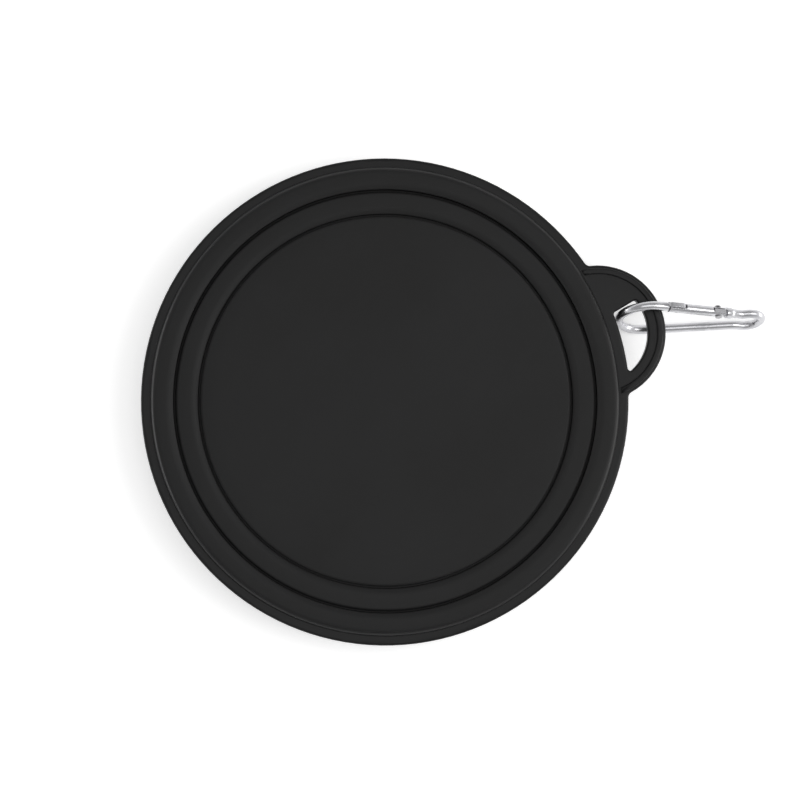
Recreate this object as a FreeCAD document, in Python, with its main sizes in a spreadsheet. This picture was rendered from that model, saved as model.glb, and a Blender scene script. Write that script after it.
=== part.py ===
import FreeCAD, Part
import math
import os
import Sketcher
from FreeCAD import Placement, Rotation, Vector

# A collapsible silicone bowl, folded flat, with a small carabiner hooked in its tab.
# The bowl's axis is Z, the table is z = 0 and the tab points along +X. All sizes are in
# millimetres. The silicone is one moulding on the real bowl. Its two thin fold webs turn
# inside out when it opens, so the two walls, the two webs and the base are separate solids
# that meet where the webs bend.

DIMENSIONS = [
    # rigid rim frame: a flat ring with the tab in one piece
    ("flange_reach", 2.0, "ring beyond the rim bead"),
    ("flange_thickness", 3.0, "ring and tab"),
    ("frame_round", 0.7, "rounded outer edges of ring and tab"),
    ("tab_inset", 5.2, "centre of the tab's round outline inside the ring's edge"),
    ("tab_radius", 18.2, "round outline of the tab"),
    ("tab_corner", 1.6, "hollow round where the tab leaves the ring"),
    ("tab_bead_inset", 1.6, "middle of the raised bead inside the tab's edge"),
    ("tab_bead_width", 1.6, "bead round the tab"),
    ("tab_bead_height", 0.6, "bead above the tab's face"),
    ("tab_bead_round", 0.4, "rounded edges of the bead"),
    ("slot_bridge", 0.4, "inner side of the slot beyond the ring's edge"),
    ("tab_band", 4.8, "tab between the slot and the tab's edge"),
    ("slot_end_near", 4.0, "blunt end of the slot from the tab's middle, inner side"),
    ("slot_end_far", 5.3, "blunt end of the slot from the tab's middle, outer side"),
    ("slot_corner", 0.7, "corners of the slot, seen from above"),
    ("slot_round", 0.6, "rounded edges of the slot"),
    # silicone bowl: rim and walls
    ("folded_height", 15.0, "height of the rim above the table when folded"),
    ("rim_radius", 63.0, "outer edge of the rim bead"),
    ("rim_width", 6.6, "rim bead, lip to outer edge"),
    ("rim_rise", 2.0, "rim bead above the ring"),
    ("lip_reach", 0.5, "inner lips of rim bead and crest stand out over the folded webs"),
    ("rim_lip_edge", 0.9, "edge of the rim bead's lip"),
    ("crest_lip_edge", 0.4, "edge of the crest's lip"),
    ("shoulder_run", 1.4, "slanted inner shoulders of both, across"),
    ("shoulder_drop", 1.1, "slanted inner shoulders of both, down"),
    ("bead_round", 3.2, "large round from that shoulder to the top"),
    ("bead_height", 4.0, "inner side of the rim bead and of the crest"),
    ("bead_underside", 1.5, "rise of the slanted underside of both"),
    ("rim_outer_round", 1.4, "outer shoulder of the rim bead"),
    ("wall_inset", 2.0, "inner faces of both walls beyond their lips, under the beads"),
    ("seat_depth", 2.7, "groove in the silicone that holds the ring"),
    ("seat_clearance", 0.1, "ring to groove"),
    ("catch_reach", 1.6, "lip under the ring"),
    ("catch_height", 1.8, "lip under the ring"),
    ("catch_lead", 0.9, "slanted lead-in of that lip"),
    ("upper_foot_width", 2.6, "upper wall's foot"),
    ("ring_pitch", 6.5, "lip and foot of the upper wall to those of the lower wall"),
    ("lower_foot_width", 2.6, "lower wall's foot"),
    ("toe_height", 1.2, "step at each foot that carries the fold web"),
    ("toe_round", 0.5, "rounded edges of the feet"),
    ("web_thickness", 0.7, "thin silicone that folds"),
    ("web_gap", 0.3, "room beside a folded web"),
    ("fold_clearance", 0.5, "a crest or the base to the foot that it slides past"),
    ("crest_step", 1.0, "crest below the rim when folded"),
    ("crest_edge", 1.4, "outer edge of the crest that stands out over the folded web"),
    ("crest_round", 0.9, "rounded outer edge of the crest"),
    ("base_step", 1.2, "top face of the base below the rim when folded"),
    ("base_thickness", 2.1, "base disc"),
    ("base_lip", 1.4, "edge of the base that stands out over the folded web"),
    ("base_recess", 0.6, "side of the base under that edge"),
    ("base_round", 0.9, "rounded upper edge of the base"),
    ("web_shoulder", 0.3, "a folded web's round shoulder to the ring beside it"),
    ("shoulder_round", 0.4, "outside of that shoulder"),
    # carabiner, in its own flat frame: x runs along the gate, y points outwards
    ("wire_radius", 1.2, "bent rod of the carabiner"),
    ("bend_radius", 7.8, "wide end, to the middle of the rod"),
    ("spine_drop", 2.999, "spine's middle line from the centre of the narrow end"),
    ("nose_length", 2.2, "straight rod between the wide end and the gate"),
    ("eye_reach", 10.2, "centre of the narrow end beyond the rivet, along the gate"),
    ("eye_drop", 2.9, "centre of the narrow end, below the gate's axis"),
    ("eye_radius", 3.9, "narrow end, to the middle of the rod"),
    ("neck_radius", 3.0, "hollow bend between narrow end and gate"),
    ("saddle_radius", 5.5, "hollow bend between narrow end and spine"),
    ("root_gap", 0.4, "rod's shoulder to the gate's fork"),
    ("root_radius", 1.5, "thick end of the rod at the gate"),
    ("root_length", 1.5, "thick end of the rod at the gate"),
    ("root_taper", 0.8, "its cone down to the rod"),
    ("tang_thickness", 1.1, "flattened ends of the rod"),
    ("tang_clearance", 0.12, "each side of a flattened end in its slot"),
    ("hook_length", 4.7, "nose hook from the rod's end"),
    ("hook_height", 2.0, "nose hook above the gate's axis"),
    ("hook_depth", 0.95, "nose hook below the gate's axis"),
    ("hook_round", 0.8, "outer corners of the nose hook"),
    ("notch_length", 2.5, "middle of the notch from the rod's end"),
    ("notch_play", 0.2, "latch pin to notch, each side"),
    ("pin_radius", 0.4, "latch pin"),
    ("pin_drop", 0.4, "latch pin below the gate's axis"),
    ("pin_recess", 0.2, "each end of the latch pin under the gate's surface"),
    ("gate_radius", 1.35, "round gate"),
    ("gate_gap", 0.35, "gate's end to the nose's shoulder"),
    ("latch_room", 0.6, "latch slot beyond the nose hook"),
    ("rivet_reach", 15.1, "rivet from the rod's end"),
    ("rivet_radius", 0.5, "rivet shank"),
    ("rivet_play", 0.05, "rivet to the gate's holes"),
    ("rivet_head_radius", 0.9, "rivet head"),
    ("rivet_head_height", 0.35, "rivet head"),
    ("press_play", 0.02, "pressed pins to their holes"),
    ("fork_reach", 1.9, "gate's fork beyond the rivet"),
    ("fork_flat", 1.2, "half width of the fork where the rivet heads sit"),
    ("fork_angle", 70.0, "degrees of the fork's round end, each way from the gate's axis"),
    ("fork_slot", 1.9, "fork slot before the rivet"),
    ("tang_reach", 1.3, "rod's tang before the rivet"),
    ("tang_half", 0.95, "half height of that tang"),
    ("bore_radius", 0.8, "spring bore in the gate"),
    ("bore_floor", 6.5, "closed end of the bore from the rod's end"),
    ("plunger_radius", 0.72, "plunger in the bore"),
    ("plunger_length", 2.8, "plunger's head"),
    ("plunger_stem", 0.33, "plunger's stem inside the spring"),
    ("plunger_stem_length", 2.4, "plunger's stem"),
    ("plunger_gap", 0.05, "plunger to tang, and spring to its two seats"),
    ("spring_radius", 0.55, "spring, to the middle of its wire"),
    ("spring_wire", 0.1, "radius of the spring wire"),
    ("spring_turns", 5.0, "turns of the spring"),
    # how the carabiner lies in the slot
    ("hook_azimuth", 0.0, "degrees from the tab's middle to the centre of the wide end"),
    ("carabiner_azimuth", -15.3, "degrees, direction of the carabiner's long axis"),
    ("carabiner_tilt", 19.3, "degrees that the flat of the carabiner leans from upright"),
]

SHEET = "dims"
TOLERANCE = 1e-6

doc = FreeCAD.newDocument("collapsible_bowl")


def make_sheet():
    sheet = doc.addObject("Spreadsheet::Sheet", SHEET)
    for row, (alias, number, meaning) in enumerate(DIMENSIONS, start=1):
        sheet.set(f"A{row}", alias)
        sheet.set(f"B{row}", str(number))
        sheet.set(f"C{row}", meaning)
        sheet.setAlias(f"B{row}", alias)
    doc.recompute()
    return sheet


sheet = make_sheet()


def size(formula):
    """The number that a formula over the sheet's cells gives now."""
    found = sheet.evalExpression(formula)
    return float(getattr(found, "Value", found))


def dim(alias):
    return float(sheet.get(alias))


# ---------------------------------------------------------------- drawing helpers


def new_body(label):
    body = doc.addObject("PartDesign::Body", label)
    body.Label = label
    return body


def plane_of(body, role):
    for feature in body.Origin.OriginFeatures:
        if feature.Role == role:
            return feature
    raise ValueError(role)


def new_sketch(body, name, role, offset=None):
    """A sketch on one of the body's origin planes, lifted off it by a formula."""
    sketch = body.newObject("Sketcher::SketchObject", name)
    sketch.AttachmentSupport = [(plane_of(body, role), "")]
    sketch.MapMode = "FlatFace"
    if offset:
        sketch.setExpression("AttachmentOffset.Base.z", offset)
        doc.recompute()
    return sketch


def bind(sketch, kind, formula, *where):
    """A dimension of a sketch that follows a formula. Zero puts the point on the axis."""
    number = size(formula)
    if abs(number) < TOLERANCE and kind in ("DistanceX", "DistanceY"):
        axis = -2 if kind == "DistanceX" else -1
        sketch.addConstraint(Sketcher.Constraint("PointOnObject", *where[-2:], axis))
        return
    index = sketch.addConstraint(Sketcher.Constraint(kind, *where, number))
    sketch.setExpression(f"Constraints[{index}]", formula)


def polygon(sketch, corners):
    """A closed outline of straight sides whose corners are pairs of formulas."""
    points = [Vector(size(x), size(y), 0) for x, y in corners]
    for start, end in zip(points, points[1:] + points[:1]):
        sketch.addGeometry(Part.LineSegment(start, end), False)
    last = len(corners) - 1
    for index, (x, y) in enumerate(corners):
        before = last if index == 0 else index - 1
        sketch.addConstraint(Sketcher.Constraint("Coincident", before, 2, index, 1))
        bind(sketch, "DistanceX", x, -1, 1, index, 1)
        bind(sketch, "DistanceY", y, -1, 1, index, 1)
    return sketch


def circle(sketch, radius, x="0", y="0"):
    centre = Vector(size(x), size(y), 0)
    index = sketch.addGeometry(Part.Circle(centre, Vector(0, 0, 1), size(radius)), False)
    bind(sketch, "DistanceX", x, -1, 1, index, 3)
    bind(sketch, "DistanceY", y, -1, 1, index, 3)
    bind(sketch, "Radius", radius, index)
    return sketch


def pad(body, sketch, length, both_ways=False):
    feature = body.newObject("PartDesign::Pad", sketch.Name + "_pad")
    feature.Profile = sketch
    feature.setExpression("Length", length)
    feature.Midplane = both_ways
    sketch.Visibility = False
    doc.recompute()
    return feature


def cut(body, sketch, length=None, upwards=False, both_ways=False):
    """A pocket. Without a length it goes right through. It must take something away."""
    before = body.Shape.Volume
    feature = body.newObject("PartDesign::Pocket", sketch.Name + "_cut")
    feature.Profile = sketch
    if length:
        feature.setExpression("Length", length)
    else:
        feature.Type = "ThroughAll"
    feature.Reversed = upwards
    feature.Midplane = both_ways
    sketch.Visibility = False
    doc.recompute()
    if body.Shape.Volume > before - TOLERANCE:
        raise RuntimeError(f"{feature.Name} cuts nothing")
    return feature


def turned(body, name, corners, role="XZ_Plane", axis="V_Axis", groove=False):
    """A turned solid, or with groove a turned cut, from a straight-sided half section."""
    before = body.Shape.Volume if groove else 0.0
    sketch = polygon(new_sketch(body, name, role), corners)
    kind = "PartDesign::Groove" if groove else "PartDesign::Revolution"
    feature = body.newObject(kind, name + "_turned")
    feature.Profile = sketch
    feature.ReferenceAxis = (sketch, [axis])
    feature.Angle = 360
    sketch.Visibility = False
    doc.recompute()
    if groove and body.Shape.Volume > before - TOLERANCE:
        raise RuntimeError(f"{feature.Name} cuts nothing")
    return feature


def round_edges(body, name, radius, wanted):
    """A fillet on every edge of the body that the test picks."""
    base = body.Tip
    edges = [f"Edge{i}" for i, edge in enumerate(base.Shape.Edges, start=1) if wanted(edge)]
    if not edges:
        raise RuntimeError(f"{name} finds no edge")
    feature = body.newObject("PartDesign::Fillet", name)
    feature.Base = (base, edges)
    feature.setExpression("Radius", radius)
    doc.recompute()
    if feature.Shape.isNull() or not feature.Shape.isValid():
        raise RuntimeError(f"{name} cannot be rounded")
    return feature


def ring_edge(*places):
    """Picks full or part circles about the bowl's axis by their radius and height."""

    def wanted(edge):
        curve = edge.Curve
        if not isinstance(curve, Part.Circle):
            return False
        on_axis = math.hypot(curve.Center.x, curve.Center.y) < 1e-3
        return on_axis and any(
            abs(curve.Radius - size(radius)) < 1e-3 and abs(curve.Center.z - size(height)) < 1e-3
            for radius, height in places
        )

    return wanted


# ---------------------------------------------------------------- bowl: heights and radii

FLANGE_RADIUS = "(dims.rim_radius + dims.flange_reach)"
FLANGE_TOP = "dims.folded_height - dims.rim_rise"
FLANGE_BOTTOM = "dims.folded_height - dims.rim_rise - dims.flange_thickness"
CATCH_BOTTOM = FLANGE_BOTTOM + " - dims.catch_height"
SEAT_RADIUS = "(dims.rim_radius - dims.seat_depth)"
MOUTH_LIP = "(dims.rim_radius - dims.rim_width)"
MOUTH_INSIDE = MOUTH_LIP + " + dims.lip_reach"
MOUTH_LIP_BOTTOM = "dims.folded_height - dims.shoulder_drop - dims.rim_lip_edge"
CREST_TOP = "(dims.folded_height - dims.crest_step)"
CREST_RADIUS = MOUTH_LIP + " - dims.fold_clearance"
CREST_BOTTOM = CREST_TOP + " - dims.crest_edge"
CREST_LIP = "(" + MOUTH_LIP + " - dims.ring_pitch)"
CREST_INSIDE = CREST_LIP + " + dims.lip_reach"
CREST_LIP_BOTTOM = CREST_TOP + " - dims.shoulder_drop - dims.crest_lip_edge"
CREST_SIDE = CREST_RADIUS + " - dims.web_thickness - dims.web_gap"
BASE_TOP = "(dims.folded_height - dims.base_step)"
BASE_RADIUS = CREST_LIP + " - dims.fold_clearance"
BASE_BOTTOM = BASE_TOP + " - dims.base_thickness"
BASE_SIDE = BASE_RADIUS + " - dims.base_recess"
LIP_BOTTOM = BASE_TOP + " - dims.base_lip"
TAB_X = "(dims.rim_radius + dims.flange_reach - dims.tab_inset)"
SLOT_INNER = "(dims.rim_radius + dims.flange_reach + dims.slot_bridge)"
SLOT_OUTER = "(dims.tab_radius - dims.tab_band)"
BEAD_MIDDLE = "(dims.tab_radius - dims.tab_bead_inset)"


def make_upper_wall():
    """Rim bead, groove for the ring, catch lip, and the outer cone down to its foot."""
    body = new_body("upper_wall")
    turned(body, "upper_wall_section", [
        (MOUTH_LIP, "0"),
        (MOUTH_LIP + " + dims.upper_foot_width", "0"),
        (SEAT_RADIUS, CATCH_BOTTOM),
        (SEAT_RADIUS + " + dims.catch_reach", CATCH_BOTTOM + " + dims.catch_lead"),
        (SEAT_RADIUS + " + dims.catch_reach", FLANGE_BOTTOM),
        (SEAT_RADIUS, FLANGE_BOTTOM),
        (SEAT_RADIUS, FLANGE_TOP),
        ("dims.rim_radius", FLANGE_TOP),
        ("dims.rim_radius", "dims.folded_height"),
        (MOUTH_LIP + " + dims.shoulder_run", "dims.folded_height"),
        (MOUTH_LIP, "dims.folded_height - dims.shoulder_drop"),
        (MOUTH_LIP, MOUTH_LIP_BOTTOM),
        (MOUTH_INSIDE, MOUTH_LIP_BOTTOM),
        (MOUTH_INSIDE, "dims.folded_height - dims.bead_height"),
        (MOUTH_LIP + " + dims.wall_inset", "dims.folded_height - dims.bead_height - dims.bead_underside"),
        (MOUTH_LIP + " + dims.web_thickness + dims.web_gap", "dims.toe_height"),
        (MOUTH_LIP, "dims.toe_height"),
    ])
    round_edges(body, "rim_shoulder", "dims.rim_outer_round",
                ring_edge(("dims.rim_radius", "dims.folded_height")))
    round_edges(body, "mouth_edge", "dims.bead_round",
                ring_edge((MOUTH_LIP + " + dims.shoulder_run", "dims.folded_height")))
    round_edges(body, "upper_foot_edge", "dims.toe_round",
                ring_edge((MOUTH_LIP + " + dims.upper_foot_width", "0"),
                          (MOUTH_LIP, "0")))
    return body


def make_lower_wall():
    """Inner cone with a thick crest, level with the rim while the bowl is folded."""
    body = new_body("lower_wall")
    turned(body, "lower_wall_section", [
        (CREST_LIP, "0"),
        (CREST_LIP + " + dims.lower_foot_width", "0"),
        (CREST_SIDE, CREST_BOTTOM + " - dims.web_thickness"),
        (CREST_SIDE, CREST_BOTTOM),
        (CREST_RADIUS, CREST_BOTTOM),
        (CREST_RADIUS, CREST_TOP),
        (CREST_LIP + " + dims.shoulder_run", CREST_TOP),
        (CREST_LIP, CREST_TOP + " - dims.shoulder_drop"),
        (CREST_LIP, CREST_LIP_BOTTOM),
        (CREST_INSIDE, CREST_LIP_BOTTOM),
        (CREST_INSIDE, CREST_TOP + " - dims.bead_height"),
        (CREST_LIP + " + dims.wall_inset", CREST_TOP + " - dims.bead_height - dims.bead_underside"),
        (CREST_LIP + " + dims.web_thickness + dims.web_gap", "dims.toe_height"),
        (CREST_LIP, "dims.toe_height"),
    ])
    round_edges(body, "crest_outer_edge", "dims.crest_round",
                ring_edge((CREST_RADIUS, CREST_TOP)))
    round_edges(body, "crest_inner_edge", "dims.bead_round",
                ring_edge((CREST_LIP + " + dims.shoulder_run", CREST_TOP)))
    round_edges(body, "lower_foot_edge", "dims.toe_round",
                ring_edge((CREST_LIP + " + dims.lower_foot_width", "0"),
                          (CREST_LIP, "0")))
    return body


def make_web(label, foot_radius, shoulder_radius, side_radius, top_height):
    """Thin silicone that rises from the toe of one ring and bends in under the next one."""
    body = new_body(label)
    turned(body, label + "_section", [
        (foot_radius, "dims.toe_height"),
        (foot_radius + " + dims.web_thickness", "dims.toe_height"),
        (shoulder_radius, top_height),
        (side_radius, top_height),
        (side_radius, top_height + " - dims.web_thickness"),
        (shoulder_radius + " - dims.web_thickness", top_height + " - dims.web_thickness"),
    ])
    round_edges(body, label + "_shoulder", "dims.shoulder_round",
                ring_edge((shoulder_radius, top_height)))
    return body


def make_base_disc():
    """Flat disc whose upper edge stands out over the folded web."""
    body = new_body("base_disc")
    turned(body, "base_section", [
        ("0", BASE_BOTTOM),
        (BASE_SIDE, BASE_BOTTOM),
        (BASE_SIDE, LIP_BOTTOM),
        (BASE_RADIUS, LIP_BOTTOM),
        (BASE_RADIUS, BASE_TOP),
        ("0", BASE_TOP),
    ])
    round_edges(body, "base_edge", "dims.base_round", ring_edge((BASE_RADIUS, BASE_TOP)))
    return body


# ---------------------------------------------------------------- rim frame


def arc(sketch, centre, radius, start, end):
    """Adds an arc that runs anticlockwise from start to end."""
    first = math.atan2(start.y - centre.y, start.x - centre.x)
    last = math.atan2(end.y - centre.y, end.x - centre.x)
    if last < first:
        last += 2 * math.pi
    ring = Part.Circle(centre, Vector(0, 0, 1), radius)
    return sketch.addGeometry(Part.ArcOfCircle(ring, first, last), False)


def towards(centre, target, distance):
    return centre + (target - centre).normalize() * distance


def join_smoothly(sketch, *joints):
    for one, one_end, other, other_end in joints:
        sketch.addConstraint(Sketcher.Constraint("Tangent", one, one_end, other, other_end))


def frame_outline(sketch):
    """The ring's edge and the tab's round edge, joined by two small hollow rounds."""
    ring, tab, corner = size(FLANGE_RADIUS), dim("tab_radius"), dim("tab_corner")
    middle = Vector(size(TAB_X), 0, 0)
    x = ((ring + corner) ** 2 - (tab + corner) ** 2 + middle.x ** 2) / (2 * middle.x)
    upper = Vector(x, math.sqrt((ring + corner) ** 2 - x ** 2), 0)
    lower = Vector(x, -upper.y, 0)
    on_ring = [towards(Vector(), centre, ring) for centre in (upper, lower)]
    on_tab = [towards(middle, centre, tab) for centre in (upper, lower)]
    round_ring = arc(sketch, Vector(), ring, on_ring[0], on_ring[1])
    round_tab = arc(sketch, middle, tab, on_tab[1], on_tab[0])
    hollow_up = arc(sketch, upper, corner, on_ring[0], on_tab[0])
    hollow_down = arc(sketch, lower, corner, on_tab[1], on_ring[1])
    join_smoothly(sketch, (round_ring, 1, hollow_up, 1), (hollow_up, 2, round_tab, 2),
                  (round_tab, 1, hollow_down, 1), (hollow_down, 2, round_ring, 2))
    sketch.addConstraint(Sketcher.Constraint("Coincident", round_ring, 3, -1, 1))
    sketch.addConstraint(Sketcher.Constraint("PointOnObject", round_tab, 3, -1))
    bind(sketch, "DistanceX", TAB_X, -1, 1, round_tab, 3)
    bind(sketch, "Radius", FLANGE_RADIUS, round_ring)
    bind(sketch, "Radius", "dims.tab_radius", round_tab)
    bind(sketch, "Radius", "dims.tab_corner", hollow_up)
    bind(sketch, "Radius", "dims.tab_corner", hollow_down)
    return sketch


def slot_outline(sketch):
    """A half-moon: an arc about the bowl's axis, one about the tab's centre, a blunt end."""
    inner, outer, corner = size(SLOT_INNER), size(SLOT_OUTER), dim("slot_corner")
    tab = Vector(size(TAB_X), 0, 0)
    x = ((inner + corner) ** 2 - (outer - corner) ** 2 + tab.x ** 2) / (2 * tab.x)
    tip = Vector(x, -math.sqrt((inner + corner) ** 2 - x ** 2), 0)
    near_y, far_y = dim("slot_end_near"), dim("slot_end_far")
    near = Vector(math.sqrt(inner ** 2 - near_y ** 2) + corner, near_y, 0)
    far = Vector(tab.x + math.sqrt(outer ** 2 - far_y ** 2) - corner, far_y, 0)
    way = (far - near).normalize()
    inwards = Vector(way.y, -way.x, 0)
    near_centre, far_centre = near + inwards * corner, far + inwards * corner
    tip_near, tip_far = towards(tip, Vector(), corner), towards(tab, tip, outer)
    end_near, end_far = towards(Vector(), near_centre, inner), towards(tab, far_centre, outer)
    near_side = arc(sketch, Vector(), inner, tip_near, end_near)
    far_side = arc(sketch, tab, outer, tip_far, end_far)
    tip_round = arc(sketch, tip, corner, tip_near, tip_far)
    near_round = arc(sketch, near_centre, corner, near, end_near)
    far_round = arc(sketch, far_centre, corner, end_far, far)
    end = sketch.addGeometry(Part.LineSegment(near, far), False)
    join_smoothly(sketch, (near_side, 1, tip_round, 1), (tip_round, 2, far_side, 1),
                  (near_side, 2, near_round, 2), (near_round, 1, end, 1),
                  (end, 2, far_round, 2), (far_round, 1, far_side, 2))
    sketch.addConstraint(Sketcher.Constraint("Coincident", near_side, 3, -1, 1))
    sketch.addConstraint(Sketcher.Constraint("PointOnObject", far_side, 3, -1))
    bind(sketch, "DistanceX", TAB_X, -1, 1, far_side, 3)
    bind(sketch, "Radius", SLOT_INNER, near_side)
    bind(sketch, "Radius", SLOT_OUTER, far_side)
    for rounding in (tip_round, near_round, far_round):
        bind(sketch, "Radius", "dims.slot_corner", rounding)
    bind(sketch, "DistanceY", "dims.slot_end_near", -1, 1, end, 1)
    bind(sketch, "DistanceY", "dims.slot_end_far", -1, 1, end, 2)
    return sketch


def make_rim_frame():
    """The hard ring under the rim bead, with the tab, its raised bead and its slot."""
    body = new_body("rim_frame")
    pad(body, frame_outline(new_sketch(body, "frame_outline", "XY_Plane", FLANGE_BOTTOM)),
        "dims.flange_thickness")
    cut(body, slot_outline(new_sketch(body, "slot_outline", "XY_Plane", FLANGE_TOP)))
    faces = {round(size(FLANGE_TOP), 3), round(size(FLANGE_BOTTOM), 3)}

    def from_tab(vertex):
        return math.hypot(vertex.X - size(TAB_X), vertex.Y)

    def on_one_face(edge):
        heights = {round(vertex.Z, 3) for vertex in edge.Vertexes}
        return len(heights) == 1 and heights <= faces

    def slot_edge(edge):
        reach = size(SLOT_OUTER) + 0.1
        return on_one_face(edge) and all(from_tab(vertex) < reach for vertex in edge.Vertexes)

    round_edges(body, "slot_edges", "dims.slot_round", slot_edge)

    def outer_edge(edge):
        reach = dim("tab_radius") - 1e-3
        return on_one_face(edge) and all(from_tab(vertex) > reach for vertex in edge.Vertexes)

    round_edges(body, "outer_edges", "dims.frame_round", outer_edge)
    bead = new_sketch(body, "bead_outline", "XY_Plane", FLANGE_TOP)
    circle(bead, BEAD_MIDDLE + " + dims.tab_bead_width / 2", TAB_X)
    circle(bead, BEAD_MIDDLE + " - dims.tab_bead_width / 2", TAB_X)
    pad(body, bead, "dims.tab_bead_height")

    def bead_edge(edge):
        top = size(FLANGE_TOP + " + dims.tab_bead_height")
        return all(abs(vertex.Z - top) < 1e-3 for vertex in edge.Vertexes)

    round_edges(body, "bead_edges", "dims.tab_bead_round", bead_edge)
    cut(body, circle(new_sketch(body, "rim_seat", "XY_Plane", FLANGE_TOP),
                     "dims.rim_radius + dims.seat_clearance"),
        "dims.tab_bead_height + 1", upwards=True)
    cut(body, circle(new_sketch(body, "bowl_opening", "XY_Plane", FLANGE_TOP),
                     SEAT_RADIUS + " + dims.seat_clearance"))
    return body


# ---------------------------------------------------------------- carabiner

RIVET_X = "dims.rivet_reach"
EYE_X = "dims.rivet_reach + dims.eye_reach"
ROOT_X = "dims.rivet_reach + dims.fork_reach + dims.root_gap"
TANG_X = "dims.rivet_reach - dims.tang_reach"
ACROSS_GATE = "4 * dims.gate_radius"


def rod_corners():
    """Where the arcs of the bent rod meet, and their centres, by tangency."""
    bend = dim("bend_radius")
    eye = Vector(size(EYE_X), -dim("eye_drop"), 0)
    eye_r, neck_r, saddle_r = dim("eye_radius"), dim("neck_radius"), dim("saddle_radius")
    bend_centre = Vector(-dim("nose_length"), -bend, 0)
    # the spine touches the wide end and passes the centre of the narrow end at its distance
    gap = eye - bend_centre
    angle = math.atan2(gap.y, gap.x) + math.asin((bend - dim("spine_drop")) / gap.Length)
    along = Vector(math.cos(angle), math.sin(angle), 0)
    left = Vector(-math.sin(angle), math.cos(angle), 0)
    spine_start = bend_centre - left * bend
    # hollow arc on the outer side of the spine that touches the narrow end from below
    across = (eye - spine_start).dot(left) + saddle_r
    reach = (eye - spine_start).dot(along) - math.sqrt((saddle_r + eye_r) ** 2 - across ** 2)
    spine_end = spine_start + along * reach
    saddle_centre = spine_end - left * saddle_r
    saddle_end = saddle_centre + (eye - saddle_centre).normalize() * saddle_r
    # hollow arc on the outer side of the gate's axis that touches the narrow end from above
    rise = neck_r + dim("eye_drop")
    neck_centre = Vector(eye.x - math.sqrt((neck_r + eye_r) ** 2 - rise ** 2), neck_r, 0)
    neck_start = neck_centre + (eye - neck_centre).normalize() * neck_r
    return {
        "nose_end": Vector(-dim("nose_length"), 0, 0), "bend_centre": bend_centre,
        "spine_start": spine_start, "spine_end": spine_end, "saddle_centre": saddle_centre,
        "saddle_end": saddle_end, "eye": eye, "neck_start": neck_start,
        "neck_centre": neck_centre, "neck_end": Vector(neck_centre.x, 0, 0),
    }


def rod_path(body):
    """The rod's middle line: nose, wide end, spine, saddle, narrow end, neck, root."""
    sketch = new_sketch(body, "rod_path", "XY_Plane")
    at = rod_corners()
    nose = sketch.addGeometry(Part.LineSegment(Vector(), at["nose_end"]), False)
    bend = arc(sketch, at["bend_centre"], dim("bend_radius"), at["nose_end"], at["spine_start"])
    spine = sketch.addGeometry(Part.LineSegment(at["spine_start"], at["spine_end"]), False)
    saddle = arc(sketch, at["saddle_centre"], dim("saddle_radius"), at["saddle_end"],
                 at["spine_end"])
    eye = arc(sketch, at["eye"], dim("eye_radius"), at["saddle_end"], at["neck_start"])
    neck = arc(sketch, at["neck_centre"], dim("neck_radius"), at["neck_end"], at["neck_start"])
    root_end = Vector(size(ROOT_X), 0, 0)
    root = sketch.addGeometry(Part.LineSegment(at["neck_end"], root_end), False)
    sketch.addConstraint(Sketcher.Constraint("Coincident", nose, 1, -1, 1))
    sketch.addConstraint(Sketcher.Constraint("PointOnObject", nose, 2, -1))
    sketch.addConstraint(Sketcher.Constraint("PointOnObject", root, 1, -1))
    sketch.addConstraint(Sketcher.Constraint("PointOnObject", root, 2, -1))
    join_smoothly(sketch, (nose, 2, bend, 1), (bend, 2, spine, 1), (spine, 2, saddle, 2),
                  (saddle, 1, eye, 1), (eye, 2, neck, 2), (neck, 1, root, 1))
    bind(sketch, "Distance", "dims.nose_length", nose)
    bind(sketch, "Radius", "dims.bend_radius", bend)
    bind(sketch, "Radius", "dims.saddle_radius", saddle)
    bind(sketch, "Radius", "dims.eye_radius", eye)
    bind(sketch, "Radius", "dims.neck_radius", neck)
    bind(sketch, "DistanceX", EYE_X, -1, 1, eye, 3)
    bind(sketch, "DistanceY", "-dims.eye_drop", -1, 1, eye, 3)
    bind(sketch, "DistanceX", ROOT_X, -1, 1, root, 2)
    bind(sketch, "Distance", "dims.spine_drop", eye, 3, spine)
    return sketch


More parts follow.
